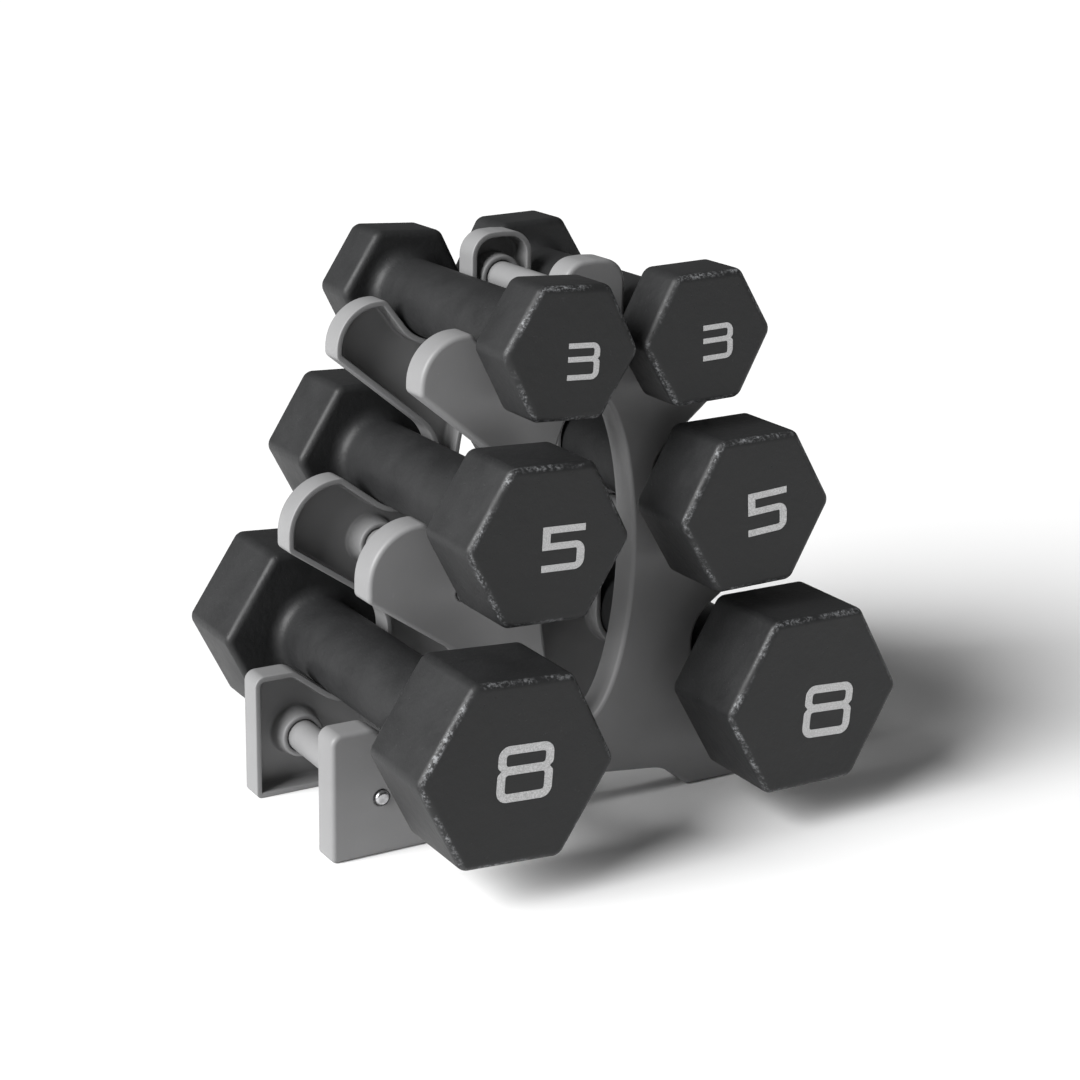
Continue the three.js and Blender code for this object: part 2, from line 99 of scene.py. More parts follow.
TIERS = [
    {
        "weight": 8, "hex_radius": 46, "head_length": 45.4, "handle_radius": 18.5,
        "side_play": 25.8, "pocket_clear": 0.6, "ramp": 38, "shoulder": 9,
        "roll": {"left": 3.4, "right": 0}, "mark": {"left": (2.7, 0.4), "right": (7, -4.9)},
        "tilt": {"left": 0, "right": 3.6},
        "numeral": {
            "width": 25.8, "height": 24.2, "bar": 3.7, "post": 3.7, "bend": 5, "notch": 1.7},
    },
    {
        "weight": 5, "hex_radius": 38.8, "head_length": 38.1, "handle_radius": 17.5,
        "side_play": 13, "pocket_clear": 0.7, "ramp": 36.5, "shoulder": 6,
        "roll": {"left": 2, "right": 1.2}, "mark": {"left": (5.9, -1.4), "right": (4.8, -0.2)},
        "tilt": {"left": 0, "right": -2.8},
        "numeral": {
            "width": 20, "height": 19, "bar": 2.9, "post": 3.6, "bend": 4.4, "notch": 0},
    },
    {
        "weight": 3, "hex_radius": 32.3, "head_length": 26.7, "handle_radius": 16.2,
        "side_play": 12.7, "pocket_clear": 2.3, "ramp": 52, "shoulder": 4,
        "roll": {"left": 2.7, "right": 2.2}, "mark": {"left": (5.1, -3.1), "right": (4.1, -1.9)},
        "tilt": {"left": 0, "right": 0},
        "numeral": {
            "width": 14.9, "height": 15.2, "bar": 2.2, "post": 2.6, "bend": 3.6, "notch": 1},
    },
]
HANDLE_MIDDLES = [middle_of(f"iron_core_{tier['weight']}lb_right") for tier in TIERS]
HANDLE_PLACES = [(middle.x, middle.z) for middle in HANDLE_MIDDLES]
NUMERAL_WAIST = 0.44
TUBE_RADIUS = 7.3
TUBE_CLEAR = 0.35
BOSS_WALL = 2.9
BOSS_FLARE = 1.4
SCREW_RADIUS = 1.7
SCREW_HEAD_RADIUS = 3.3
SCREW_SINK = 1
SCREW_HOLE = 2.1
SINK_RADIUS = 4
SCREW_LENGTH = 16
SCREW_SEAT_GAP = 0.3
PILOT_RADIUS = 2.0
PILOT_DEPTH = 14
TUBE_ROUND = 0.7
PRINT_SUNK = 0.05
END_FACE_MARGIN = 0.6
MIN_ARC_RADIUS = 0.4

# ---- Points around round shapes ----
BOSS_SEGMENTS = 64
TUBE_SEGMENTS = 72
SCREW_SEGMENTS = 48
PIN_SEGMENTS = 24

# ---- Turns of the screws' crosses, in radians, so that no two look alike ----
SCREW_TURN = 0.35
SCREW_TURN_REAR = 0.7
SCREW_TURN_ACROSS = 0.03

# ---- Angles past which an edge is shaded sharp, in degrees ----
PANEL_SHARP = 40
SCREW_SHARP = 50
COAT_SHARP = 60
NUMERAL_SHARP = 30

# ---- Tolerances, in millimetres, and directions ----
WELD = 0.002
SAME_PLANE = 0.001
ARC_ROOM = 0.999
FACES_END = 0.999
HALF_SIDE = math.pi / 6
DEPTH_AXIS = (0, 1, 0)
NO_DRIFT = (0, 0, 0)

# ---- Stage, in metres and radians ----
FLOOR_HALF_SIZE = 30
KEY_PLACE = (-2.4, -0.3, 1.4)
KEY_STRENGTH = 6.8
KEY_SPREAD = math.radians(40)
SKY_STRENGTH = 0.13
CAMERA_PLACE = (-0.5012, -0.8395, 0.4169)
CAMERA_YAW = -0.5410
CAMERA_PITCH = 0.2998
CAMERA_ROLL = 0.0202
CAMERA_LENS = 75.2
CAMERA_SENSOR = 36


# ---- Sizes and colours that a user would change ----
class RackSizes(bpy.types.PropertyGroup):
    """Walls and roundings of the moulded panels."""
    wall: FloatProperty(
        name="Rim wall", description="Thickness of a panel's rim, in millimetres",
        default=2.6, min=1, max=5)
    web: FloatProperty(
        name="Face wall", description="Thickness of a panel's face, in millimetres",
        default=2.8, min=1, max=5)
    edge_round: FloatProperty(
        name="Edge rounding", description="Radius between face and rim, in millimetres",
        default=2, min=0.5, max=3)
    rim_round: FloatProperty(
        name="Rim edge rounding", description="Radius along the rim's free edge, in millimetres",
        default=0.5, min=0.1, max=1.2)
    floor_fillet: FloatProperty(
        name="Inner fillet", description="Radius where rim and face meet inside, in millimetres",
        default=1.2, min=0.2, max=3)
    arc_step: FloatProperty(
        name="Arc step", description="Largest turn between two points of a rounded corner",
        default=math.radians(6), min=math.radians(2), max=math.radians(20), subtype="ANGLE")


class DumbbellSizes(bpy.types.PropertyGroup):
    """Roundings and thicknesses of the coated dumbbells."""
    coat: FloatProperty(
        name="Coat", description="Thickness of the neoprene, in millimetres",
        default=2, min=0.5, max=4)
    corner: FloatProperty(
        name="Long edge rounding", description="Radius of the six long edges, in millimetres",
        default=5, min=1, max=10)
    face_round: FloatProperty(
        name="Face rounding", description="Radius around an end face, in millimetres",
        default=3.4, min=1, max=6)
    fillet: FloatProperty(
        name="Handle fillet", description="Radius where handle meets head, in millimetres",
        default=6, min=1, max=6)
    pin_hole: FloatProperty(
        name="Pin hole", description="Radius of the hole left by the dipping pin, in millimetres",
        default=2, min=0.5, max=3)
    print_height: FloatProperty(
        name="Numeral relief", description="How far a numeral stands proud, in millimetres",
        default=0.15, min=0.05, max=0.5)
    segments: IntProperty(
        name="Round segments", description="Points around a handle", default=72, min=16, max=160)


class Finishes(bpy.types.PropertyGroup):
    """Colours of the finishes."""
    rack: FloatVectorProperty(
        name="Rack plastic", description="Moulded plastic of the panels",
        default=(0.2, 0.2, 0.202), min=0, max=1, subtype="COLOR", size=3)
    spacer: FloatVectorProperty(
        name="Spacer plastic", description="Moulded plastic of the spacer tubes",
        default=(0.2, 0.2, 0.202), min=0, max=1, subtype="COLOR", size=3)
    zinc: FloatVectorProperty(
        name="Zinc", description="Plating of the screws",
        default=(0.55, 0.55, 0.56), min=0, max=1, subtype="COLOR", size=3)
    iron: FloatVectorProperty(
        name="Cast iron", description="Bare iron of the cores",
        default=(0.05, 0.05, 0.052), min=0, max=1, subtype="COLOR", size=3)
    neoprene: FloatVectorProperty(
        name="Neoprene", description="Dipped coat of the dumbbells",
        default=(0.014, 0.0143, 0.0148), min=0, max=1, subtype="COLOR", size=3)
    numeral: FloatVectorProperty(
        name="Numeral paint", description="Silver paint of the numerals",
        default=(0.5, 0.5, 0.503), min=0, max=1, subtype="COLOR", size=3)


# ---- Shader maths ----
class Value:
    """A socket on which Python's operators do shader maths."""

    def __init__(self, graph, socket):
        self.graph = graph
        self.socket = socket

    def maths(self, operation, first, second):
        return self.graph.add("ShaderNodeMath", {"operation": operation}, {0: first, 1: second})

    def __add__(self, other):
        return self.maths("ADD", self, other)

    def __radd__(self, other):
        return self.maths("ADD", other, self)

    def __mul__(self, other):
        return self.maths("MULTIPLY", self, other)

    def __rmul__(self, other):
        return self.maths("MULTIPLY", other, self)

    def clamped(self, low, high):
        """0 below low, 1 above high and even between."""
        return self.graph.add("ShaderNodeMapRange", {}, {
            "Value": self, "From Min": low, "From Max": high, "To Min": 0.0, "To Max": 1.0})


class Graph:
    """A material's node tree, with a Principled shader ready."""

    def __init__(self, name, metallic, specular):
        self.material = bpy.data.materials.new(name)
        self.material.use_nodes = True
        self.tree = self.material.node_tree
        self.shader = self.tree.nodes["Principled BSDF"]
        self.shader.inputs["Metallic"].default_value = metallic
        self.shader.inputs["Specular IOR Level"].default_value = specular
        coordinates = self.tree.nodes.new("ShaderNodeTexCoord")
        self.place = Value(self, coordinates.outputs["Object"])

    def add(self, kind, settings, inputs, output=0):
        """A node of any kind: its settings first, then the values or links of its sockets."""
        node = self.tree.nodes.new(kind)
        for name, value in settings.items():
            setattr(node, name, value)
        for key, value in inputs.items():
            if isinstance(value, Value):
                self.tree.links.new(value.socket, node.inputs[key])
            else:
                node.inputs[key].default_value = value
        return Value(self, node.outputs[output])

    def noise(self, size, detail=2.0, roughness=0.5):
        """Soft noise from 0 to 1 whose lumps are about size metres across."""
        return self.add("ShaderNodeTexNoise", {}, {
            "Vector": self.place, "Scale": 1 / size, "Detail": detail, "Roughness": roughness})

    def cells(self, size):
        """Distance from the middle of cells about size metres across."""
        return self.add("ShaderNodeTexVoronoi", {}, {"Vector": self.place, "Scale": 1 / size})

    def attribute(self, name):
        return self.add("ShaderNodeAttribute", {"attribute_name": name}, {}, "Fac")

    def mix(self, factor, first, second):
        """A colour between two others."""
        return self.add("ShaderNodeMix", {"data_type": "RGBA"}, {
            0: factor, 6: first, 7: second}, 2)

    def bump(self, height, distance, strength, normal=None):
        inputs = {"Height": height, "Distance": distance, "Strength": strength}
        if normal:
            inputs["Normal"] = normal
        return self.add("ShaderNodeBump", {}, inputs)

    def feed(self, **sockets):
        """Links values to the shader's sockets: base_color, roughness or normal."""
        for name, value in sockets.items():
            self.tree.links.new(value.socket, self.shader.inputs[name.replace("_", " ").title()])
        return self.material


def shade(color, factor):
    """The same colour, lighter or darker, as a socket takes it."""
    return tuple(min(1.0, part * factor) for part in color) + (1.0,)


def moulded_plastic(name, color, grain):
    """Satin moulded plastic: fine even grain, faint flow marks and a little dust in the grain."""
    graph = Graph(name, 0.0, 0.42)
    flow = graph.noise(0.035, 3.0)
    fine = graph.noise(grain, 2.0, 0.6)
    tone = graph.mix(flow.clamped(0.3, 0.7), shade(color, 0.93), shade(color, 1.06))
    dust = graph.noise(0.0016, 3.0, 0.7).clamped(0.63, 0.8)
    tone = graph.mix(dust * 0.3, tone, shade(color, 1.5))
    rough = 0.4 + flow * 0.08 + fine * 0.1
    ripple = graph.bump(graph.noise(0.018, 1.0), 0.0006, 0.18)
    return graph.feed(
        base_color=tone, roughness=rough, normal=graph.bump(fine, 0.00006, 0.55, ripple))


def zinc_plate(name, color):
    """Bright zinc plate with fine pitting and a cloudy film."""
    graph = Graph(name, 1.0, 0.5)
    cloud = graph.noise(0.002, 3.0)
    pits = graph.noise(0.00035, 2.0, 0.6)
    tone = graph.mix(cloud.clamped(0.35, 0.7), shade(color, 0.75), shade(color, 1.2))
    return graph.feed(
        base_color=tone, roughness=0.26 + cloud * 0.2, normal=graph.bump(pits, 0.00004, 0.5))


def cast_iron(name, color):
    """Rough sand casting."""
    graph = Graph(name, 0.6, 0.5)
    sand = graph.noise(0.0009, 4.0, 0.65)
    tone = graph.mix(sand.clamped(0.4, 0.65), shade(color, 0.6), shade(color, 1.6))
    return graph.feed(
        base_color=tone, roughness=0.55 + sand * 0.3, normal=graph.bump(sand, 0.0003, 0.8))


def dipped_neoprene(name, color):
    """Dipped neoprene: orange-peel skin, pinholes, dusty patches, and light speckles along the
    end-face rounds that are partly rubbed coat and partly a painted highlight.
    """
    graph = Graph(name, 0.0, 0.36)
    cloud = graph.noise(0.022, 3.0, 0.6)
    peel = graph.noise(0.0024, 3.0, 0.6)
    pits = graph.cells(0.0042).clamped(0.12, 0.02)
    specks = graph.noise(0.0015, 4.0, 0.8)
    breaks = graph.noise(0.014, 3.0, 0.7)
    edge = graph.attribute("edge")
    # Speckles along the end-face rounds: partly rubbed coat, partly a painted highlight standing
    # for the edges' sheen.
    rubbed_and_glint = edge.clamped(0.35, 0.85) * specks.clamped(0.47, 0.6) * breaks.clamped(0.4, 0.6)
    dust = specks.clamped(0.58, 0.7) * breaks.clamped(0.5, 0.7)
    tone = graph.mix(cloud.clamped(0.3, 0.7), shade(color, 0.85), shade(color, 1.15))
    tone = graph.mix(dust * 0.4, tone, shade(color, 4))
    # The edge speckles are painted much lighter: rubbing and a painted highlight together.
    tone = graph.mix(rubbed_and_glint * 0.9, tone, shade(color, 16))
    rough = 0.4 + cloud * 0.28
    lumps = graph.bump(graph.noise(0.012, 2.0), 0.0012, 0.3)
    skin = graph.bump(peel, 0.0004, 0.4, lumps)
    return graph.feed(
        base_color=tone, roughness=rough, normal=graph.bump(pits, -0.0002, 0.6, skin))


def silver_paint(name, color):
    """Silver paint with a fine sparkle, thin in places."""
    graph = Graph(name, 0.25, 0.5)
    flakes = graph.noise(0.00045, 2.0, 0.8)
    cloud = graph.noise(0.005, 3.0)
    tone = graph.mix(flakes.clamped(0.35, 0.65), shade(color, 0.62), shade(color, 1.25))
    thin = graph.noise(0.0009, 3.0, 0.7).clamped(0.62, 0.72)
    tone = graph.mix(thin * 0.55, tone, shade(color, 0.25))
    return graph.feed(
        base_color=tone, roughness=0.38 + cloud * 0.15, normal=graph.bump(flakes, 0.00005, 0.6))


def material(slot):
    """The finish for that slot, made once.

    Its name differs from the slot's, because the frame has plain materials under those names.
    """
    name = f"{slot}_finish"
    found = bpy.data.materials.get(name)
    if found:
        return found
    colors = bpy.context.scene.rack_finishes
    makers = {
        "rack_plastic": lambda: moulded_plastic(name, colors.rack, 0.0005),
        "spacer_plastic": lambda: moulded_plastic(name, colors.spacer, 0.0007),
        "zinc_screw": lambda: zinc_plate(name, colors.zinc),
        "cast_iron": lambda: cast_iron(name, colors.iron),
        "neoprene": lambda: dipped_neoprene(name, colors.neoprene),
        "numeral_silver": lambda: silver_paint(name, colors.numeral),
    }
    return makers[slot]()


# ---- Outlines with rounded corners ----
# Corners run clockwise around a closed outline, each (across, up, radius).
def inset(corners, distance):
    """The corners of the outline a set distance inside."""
    moved = []
    for index, (across, up, radius) in enumerate(corners):
        here = Vector((across, up))
        before = (here - Vector(corners[index - 1][:2])).normalized()
        after = (Vector(corners[(index + 1) % len(corners)][:2]) - here).normalized()
        inward = Vector((before.y + after.y, -before.x - after.x))
        here += inward * distance / (1 + before.dot(after))
        if before.cross(after) < 0:
            radius = max(radius - distance, MIN_ARC_RADIUS)
        else:
            radius += distance
        moved.append((here.x, here.y, radius))
    return moved


def arcs(corners):
    """Start, centre and turn of the arc at each corner."""
    turns = []
    for index, (across, up, radius) in enumerate(corners):
        here = Vector((across, up))
        before = here - Vector(corners[index - 1][:2])
        after = Vector(corners[(index + 1) % len(corners)][:2]) - here
        turn = math.atan2(before.cross(after), before.dot(after))
        turns.append((here, before, after, turn, radius * abs(math.tan(turn / 2))))
    found = []
    for index, (here, before, after, turn, trim) in enumerate(turns):
        room = min(
            1,
            before.length / (trim + turns[index - 1][4]),
            after.length / (trim + turns[(index + 1) % len(turns)][4]))
        trim *= room * ARC_ROOM
        radius = trim / abs(math.tan(turn / 2))
        along = before.normalized()
        start = here - along * trim
        centre = start + Vector((-along.y, along.x)) * math.copysign(radius, turn)
        found.append((start, centre, turn))
    return found


def arc_steps(corners, step):
    """How many steps each corner's arc takes."""
    return [max(2, math.ceil(abs(turn) / step)) for _, _, turn in arcs(corners)]


def rounded_loop(bm, corners, depth, steps):
    """A closed outline in the plane y = depth: one spun arc for each corner, joined up."""
    old = set(bm.edges)
    ends = []
    for (start, centre, turn), count in zip(arcs(corners), steps):
        first = bm.verts.new((start.x, depth, start.y))
        spun = bmesh.ops.spin(
            bm, geom=[first], cent=(centre.x, depth, centre.y), axis=(0, -1, 0),
            dvec=NO_DRIFT, angle=turn, steps=count, use_merge=False, use_duplicate=False)
        last = next(part for part in spun["geom_last"] if isinstance(part, bmesh.types.BMVert))
        ends.append((first, last))
    for index, (_, last) in enumerate(ends):
        bm.edges.new((last, ends[(index + 1) % len(ends)][0]))
    return [edge for edge in bm.edges if edge not in old]


def oval_loop(bm, centre, half_width, half_height, depth, segments):
    """A closed oval in the plane y = depth."""
    place = (
        Matrix.Translation((centre[0], depth, centre[1]))
        @ Matrix.Diagonal((half_width, 1, half_height, 1))
        @ Matrix.Rotation(math.pi / 2, 4, "X"))
    made = bmesh.ops.create_circle(bm, cap_ends=False, segments=segments, radius=1, matrix=place)
    return list({edge for vert in made["verts"] for edge in vert.link_edges})


def bridged(bm, loops):
    """Joins each loop of edges to the next with faces."""
    for loop, following in zip(loops, loops[1:]):
        bmesh.ops.bridge_loops(bm, edges=loop + following)


def turned(bm, profile, centre, segments):
    """Spins a profile of (radius, depth) points about the line through centre along Y."""
    points = [bm.verts.new((centre[0] + out, depth, centre[1])) for out, depth in profile]
    edges = [bm.edges.new(pair) for pair in zip(points, points[1:])]
    bmesh.ops.spin(
        bm, geom=points + edges, cent=(centre[0], 0, centre[1]), axis=DEPTH_AXIS,
        dvec=NO_DRIFT, angle=FULL_TURN, steps=segments, use_merge=True, use_duplicate=False)


def bend(centre, radius, start, end, steps):
    """Points of a quarter or so of a circle in a profile, from one angle to another, in degrees."""
    angles = [math.radians(start + (end - start) * step / steps) for step in range(steps + 1)]
    return [(centre[0] + radius * math.cos(a), centre[1] + radius * math.sin(a)) for a in angles]


def filled(bm, depth):
    """Fills what is still open in the plane y = depth, around any holes."""
    open_edges = [
        edge for edge in bm.edges
        if edge.is_boundary and all(abs(vert.co.y - depth) < SAME_PLANE for vert in edge.verts)]
    bmesh.ops.triangle_fill(
        bm, use_beauty=True, use_dissolve=False, edges=open_edges, normal=DEPTH_AXIS)
    return [
        face for face in bm.faces
        if all(abs(vert.co.y - depth) < SAME_PLANE for vert in face.verts) and len(face.verts) == 3]


def finished(bm, name, place, body, slot, nodes, sharp=PANEL_SHARP):
    """Turns a bmesh in millimetres into a shaded piece that rides on a body."""
    bmesh.ops.remove_doubles(bm, verts=bm.verts, dist=WELD)
    bmesh.ops.recalc_face_normals(bm, faces=bm.faces)
    bmesh.ops.transform(bm, matrix=Matrix.Scale(MM, 4) @ place, verts=bm.verts)
    mesh = bpy.data.meshes.new(name)
    bm.to_mesh(mesh)
    bm.free()
    mesh.shade_smooth()
    mesh.set_sharp_from_angle(angle=math.radians(sharp))
    mesh.materials.append(material(slot))
    piece = bpy.data.objects.new(name, mesh)
    bpy.context.collection.objects.link(piece)
    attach(piece, body)
    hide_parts(*nodes)
    return piece


# ---- Panels ----
def pocket_radius(level):
    return TIERS[level]["handle_radius"] + TIERS[level]["pocket_clear"]


def ramp_up(level, across):
    """Height of the straight ramp beside a pocket, at a distance across."""
    slope = math.radians(TIERS[level]["ramp"])
    handle_x, handle_z = HANDLE_PLACES[level]
    pocket_z = handle_z + TIERS[level]["pocket_clear"] - REST_GAP
    return pocket_z + (across - handle_x) * math.tan(slope) - pocket_radius(level) / math.cos(slope)


def ramp_across(level, up):
    handle_x = HANDLE_PLACES[level][0]
    return handle_x + (up - ramp_up(level, handle_x)) / math.tan(math.radians(TIERS[level]["ramp"]))


def pocket_corner(level):
    across = HANDLE_PLACES[level][0] - pocket_radius(level)
    return (across, ramp_up(level, across), pocket_radius(level))


def arm_corners(level, arm):
    handle_x, handle_z = HANDLE_PLACES[level]
    lip = handle_z - arm["lip_below"]
    end_x = handle_x + arm["reach"]
    end_z = lip - arm["drop"]
    trunk_x = HANDLE_PLACES[level - 1][0] - pocket_radius(level - 1)
    slope = math.tan(math.radians(arm["underside"]))
    return [
        (ramp_across(level, lip), lip, TIERS[level]["shoulder"]),
        (end_x, lip, arm["bend"]),
        (end_x, end_z, RIM_CORNER),
        (trunk_x, end_z - (end_x - trunk_x) * slope, POCKET_BEND),
    ]


def panel_corners():
    """The tree-shaped outline of a panel, clockwise from its top."""
    tip_half = HANDLE_PLACES[2][0] - pocket_radius(2)
    foot_lip = HANDLE_PLACES[0][1] - FOOT_LIP_BELOW
    right = [
        (tip_half, RACK_TOP - TIP_CROWN, TIP_CORNER),
        pocket_corner(2),
        *arm_corners(2, TOP_ARM),
        pocket_corner(1),
        *arm_corners(1, MIDDLE_ARM),
        pocket_corner(0),
        (ramp_across(0, foot_lip), foot_lip, TIERS[0]["shoulder"]),
        (FOOT_HALF_WIDTH, foot_lip, FOOT_TOP_CORNER),
        (FOOT_HALF_WIDTH, 0, FLOOR_CORNER),
        (FOOT_HALF_WIDTH - FOOT_INNER, 0, FLOOR_CORNER),
        (FOOT_HALF_WIDTH - ARCH_SHOULDER, ARCH_SHOULDER_HEIGHT, ARCH_BEND),
    ]
    left = [(-across, up, radius) for across, up, radius in reversed(right)]
    return [(0, RACK_TOP, RIM_CORNER), *right, (0, ARCH_HEIGHT, ARCH_BEND), *left]


def wall_profiles(sizes):
    """Sections of the rim's outside and inside as (inset, depth), which flat faces join."""
    edge, rim, fillet = sizes.edge_round, sizes.rim_round, sizes.floor_fillet
    wall, web, deep = sizes.wall, sizes.web, PANEL_DEPTH
    outside = [
        *bend((edge, edge), edge, 270, 180, 5),
        (0, deep - rim - 0.6),
        *bend((rim, deep - rim), rim, 180, 90, 3),
    ]
    inside = [
        *bend((wall - rim, deep - rim), rim, 90, 0, 3),
        (wall, deep - rim - 0.6),
        (wall, web + fillet + 0.5),
        *bend((wall + fillet, web + fillet), fillet, 180, 270, 4),
    ]
    return outside, inside


def boss_profile(web, deep, room):
    """Section of a boss, its socket, its screw hole and the recess on the outer face."""
    top = TUBE_RADIUS + BOSS_WALL
    fillet = min(1.2, (room - top) / 2)
    base = min(top + BOSS_FLARE, room - fillet - 0.2)
    seat = TUBE_RADIUS + TUBE_CLEAR
    lip, mouth = 1.0, 1.1
    return [
        (base + fillet + 0.1, web),
        *bend((base + fillet, web + fillet), fillet, 270, 180, 4),
        (top + 0.1, deep - lip - 0.5),
        *bend((top - lip, deep - lip), lip, 0, 90, 5),
        (seat + mouth, deep),
        *bend((seat + mouth, deep - mouth), mouth, 90, 180, 4)[1:],
        (seat, deep - mouth - 0.5),
        (seat, web + 0.7), (seat - 0.1, web + 0.2), (seat - 0.4, web),
        (SCREW_HOLE + 0.3, web), (SCREW_HOLE, web - 0.2), (SCREW_HOLE, SCREW_SINK + 0.1),
        (SCREW_HOLE + 0.1, SCREW_SINK), (SINK_RADIUS - 0.2, SCREW_SINK),
        (SINK_RADIUS, SCREW_SINK - 0.2), *bend((SINK_RADIUS + 0.3, 0.3), 0.3, 180, 270, 3),
        (SINK_RADIUS + 0.8, 0),
    ]


def panel_mesh(sizes):
    """One panel lying against y = 0 with its hollow towards +y."""
    bm = bmesh.new()
    corners = panel_corners()
    steps = arc_steps(corners, sizes.arc_step)
    profiles = wall_profiles(sizes)
    middle = (0, (WINDOW_TOP + WINDOW_BOTTOM) / 2)
    half_height = (WINDOW_TOP - WINDOW_BOTTOM) / 2
    for profile in profiles:
        bridged(bm, [
            rounded_loop(bm, inset(corners, into), depth, steps) for into, depth in profile])
        bridged(bm, [
            oval_loop(
                bm, middle, WINDOW_HALF_WIDTH + into, half_height + into, depth, WINDOW_SEGMENTS)
            for into, depth in profile])
    tip_room = HANDLE_PLACES[2][0] - pocket_radius(2) - profiles[1][-1][0]
    for name, place in SPACERS.items():
        room = tip_room if name == "top" else HALF_DEPTH
        turned(bm, boss_profile(sizes.web, PANEL_DEPTH, room), (place.x, place.z), BOSS_SEGMENTS)
    bmesh.ops.remove_doubles(bm, verts=bm.verts, dist=WELD)
    filled(bm, PANEL_DEPTH)
    for depth in (0, sizes.web):
        flat = filled(bm, depth)
        bmesh.ops.inset_region(
            bm, faces=flat, thickness=FLAT_MARGIN, use_even_offset=True, use_boundary=True)
    return bm


class RACK_OT_panels(bpy.types.Operator):
    """Builds the two tree-shaped panels"""
    bl_idname = "rack.panels"
    bl_label = "Panels"

    def execute(self, context):
        moulding = panel_mesh(context.scene.rack_sizes)
        to_front = Matrix.Translation((0, -HALF_DEPTH, 0))
        for end, turn in (("front", 0), ("rear", math.pi)):
            place = Matrix.Rotation(turn, 4, "Z") @ to_front
            finished(
                moulding.copy(), f"{end}_panel_moulding", place, "rack", "rack_plastic",
                [f"{end}_panel"])
        return {"FINISHED"}


# ---- Spacers and screws ----
def tube_profile():
    """Section of a spacer tube, with rounded ends and a pilot hole."""
    shoulder = TUBE_RADIUS - TUBE_ROUND
    half = [
        (PILOT_RADIUS, TUBE_END - PILOT_DEPTH), (PILOT_RADIUS, TUBE_END - 0.3),
        (PILOT_RADIUS + 0.3, TUBE_END), (shoulder - 0.5, TUBE_END),
        *bend((shoulder, TUBE_END - TUBE_ROUND), TUBE_ROUND, 90, 0, 5),
        (TUBE_RADIUS, TUBE_END - TUBE_ROUND - 0.6),
    ]
    return half + [(out, -along) for out, along in reversed(half)]


class RACK_OT_spacers(bpy.types.Operator):
    """Builds the five spacer tubes"""
    bl_idname = "rack.spacers"
    bl_label = "Spacer tubes"

    def execute(self, context):
        for name, place in SPACERS.items():
            bm = bmesh.new()
            profile = tube_profile()
            turned(bm, profile + profile[:1], (0, 0), TUBE_SEGMENTS)
            finished(
                bm, f"spacer_tube_{name}", Matrix.Translation((place.x, 0, place.z)), "rack",
                "spacer_plastic", [f"spacer_{name}"])
        return {"FINISHED"}


def screw_mesh(length):
    """A pan-head screw along +y, its head's seat at y = 0.

    The crown is filled right across, so the cross recess under it doesn't show.
    """
    bm = bmesh.new()
    head, crown, cross, wing = SCREW_HEAD_RADIUS, -2.2, 0.45, 1.8
    profile = [
        (0, length), (0.4, length - 0.6), (SCREW_RADIUS, length - 2.6), (SCREW_RADIUS, 0.2),
        (SCREW_RADIUS + 0.2, 0), (head - 0.2, 0), (head, -0.2), (head, -0.6),
        *bend((head - 1.5, -0.7), 1.5, 0, -78, 7), (2.1, crown),
    ]
    turned(bm, profile, (0, 0), SCREW_SEGMENTS)
    slot = [(cross, wing, 0.2), (cross, cross, 0.15), (wing, cross, 0.2)]
    corners = []
    for quarter in range(4):
        spin = Matrix.Rotation(-quarter * math.pi / 2, 2)
        for across, up, radius in slot:
            corners.append((*(spin @ Vector((across, up))), radius))
    outline = rounded_loop(bm, corners, crown, [3] * len(corners))
    bmesh.ops.remove_doubles(bm, verts=bm.verts, dist=WELD)
    filled(bm, crown)
    outline = [edge for edge in outline if edge.is_valid]
    floor = bmesh.ops.extrude_edge_only(bm, edges=outline)["geom"]
    verts = [part for part in floor if isinstance(part, bmesh.types.BMVert)]
    bmesh.ops.scale(bm, vec=(0.62, 1, 0.62), verts=verts)
    bmesh.ops.translate(bm, vec=(0, 1.3, 0), verts=verts)
    edges = [part for part in floor if isinstance(part, bmesh.types.BMEdge)]
    bmesh.ops.triangle_fill(
        bm, use_beauty=True, use_dissolve=False, edges=edges, normal=DEPTH_AXIS)
    return bm


class RACK_OT_screws(bpy.types.Operator):
    """Builds the ten screws"""
    bl_idname = "rack.screws"
    bl_label = "Screws"

    def execute(self, context):
        for name, place in SPACERS.items():
            for index, end in enumerate(("front", "rear")):
                seat = -HALF_DEPTH + SCREW_SINK - SCREW_SEAT_GAP
                spot = (
                    Matrix.Translation((place.x, 0, place.z))
                    @ Matrix.Rotation(index * math.pi, 4, "Z")
                    @ Matrix.Translation((0, seat, 0))
                    @ Matrix.Rotation(
                        SCREW_TURN + SCREW_TURN_REAR * index + place.x * SCREW_TURN_ACROSS,
                        4, "Y"))
                finished(
                    screw_mesh(SCREW_LENGTH), f"pan_head_{end}_{name}", spot, "rack",
                    "zinc_screw", [f"screw_{end}_{name}"], SCREW_SHARP)
        return {"FINISHED"}


# ---- Dumbbells ----
def head_inner(tier):
    """Middle of a dumbbell to the inner end of a head."""
    return HALF_DEPTH + tier["side_play"]


